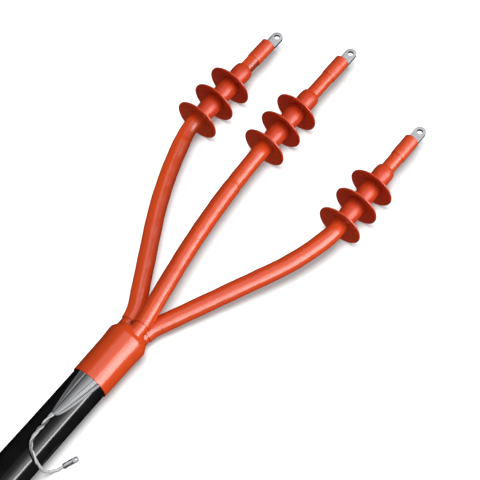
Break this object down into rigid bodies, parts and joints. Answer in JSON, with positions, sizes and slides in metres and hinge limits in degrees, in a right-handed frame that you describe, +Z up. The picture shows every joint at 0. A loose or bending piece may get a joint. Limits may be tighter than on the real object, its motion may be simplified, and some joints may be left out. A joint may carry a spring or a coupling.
{
  "type": "cable termination",
  "caption": "Outdoor heat-shrink termination of an armoured power cable: breakout boot, fanned cores with rain sheds and bolted lugs, and an earth lead with a crimped lug.",
  "frame": {"origin": "on the cable's axis, at the middle of the stretch that a cleat clamps", "axes": "+X along the cable towards the lugs, +Y to the left phase, +Z up, with the lug palms flat"},
  "size_m": [1.2662, 0.48, 0.098],
  "materials": {
    "sheath": "glossy black",
    "steel_tape": "satin",
    "bedding": "matt black",
    "filler": "matt fibre",
    "shrink": "satin orange-red",
    "spring_steel": "satin",
    "tinned": "bright tin",
    "copper": "bare copper",
    "copper_tape": "bare copper tape",
    "insulation": "smooth",
    "stress_tube": "matt black"
  },
  "bodies": {
    "root": {"cable_sheath": "sheath", "armour": "steel_tape", "inner_sheath": "bedding", "filler": "filler", "breakout_boot": "shrink", "roll_spring": "spring_steel", "earth_lead": "tinned", "earth_lug": "tinned", "strap_1": "tinned", "strap_2": "tinned", "strap_3": "tinned", "strap_4": "tinned", "left_conductor": "copper", "left_insulation": "insulation", "left_core_screen": "copper_tape", "left_stress_tube": "stress_tube", "left_outer_tube": "shrink", "left_shed_1": "shrink", "left_shed_2": "shrink", "left_shed_3": "shrink", "left_lug_seal": "shrink", "left_lug": "tinned", "middle_conductor": "copper", "middle_insulation": "insulation", "middle_core_screen": "copper_tape", "middle_stress_tube": "stress_tube", "middle_outer_tube": "shrink", "middle_shed_1": "shrink", "middle_shed_2": "shrink", "middle_shed_3": "shrink", "middle_lug_seal": "shrink", "middle_lug": "tinned", "right_conductor": "copper", "right_insulation": "insulation", "right_core_screen": "copper_tape", "right_stress_tube": "stress_tube", "right_outer_tube": "shrink", "right_shed_1": "shrink", "right_shed_2": "shrink", "right_shed_3": "shrink", "right_lug_seal": "shrink", "right_lug": "tinned"}
  },
  "joints": []
}
